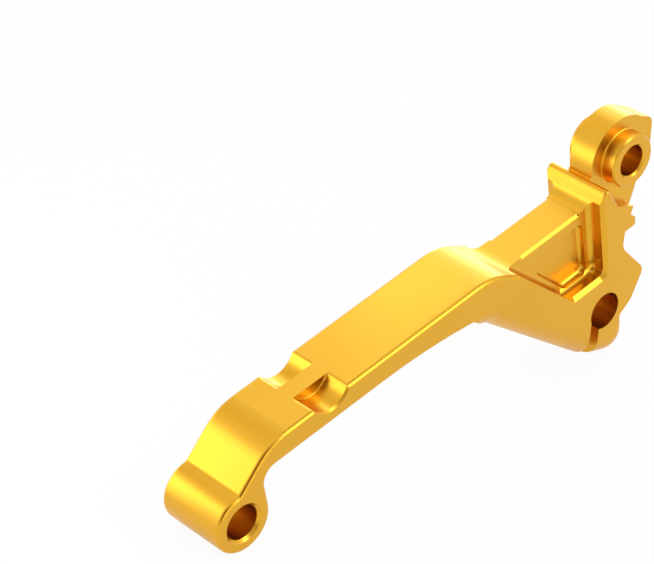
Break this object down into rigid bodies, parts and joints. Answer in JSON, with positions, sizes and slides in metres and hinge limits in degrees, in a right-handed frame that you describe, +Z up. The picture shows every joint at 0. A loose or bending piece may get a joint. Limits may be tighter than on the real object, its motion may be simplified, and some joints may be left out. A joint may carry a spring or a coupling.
{
  "type": "hand lever arm",
  "caption": "Machined aluminium hand lever arm with a cranked leg, pivot boss, keyhole socket for a cable barrel and an eye for a folding blade.",
  "frame": {"origin": "centre of the pivot bore, at the middle of the lever's width", "axes": "+Y along the bores, +X from the fold eye's end towards the pivot's end, +Z up as the lever stands on its eye and its toe"},
  "size_m": [0.1145, 0.015, 0.0505],
  "materials": {
    "anodised": "satin gold anodised"
  },
  "bodies": {
    "root": {"lever_arm": "anodised"}
  },
  "joints": []
}
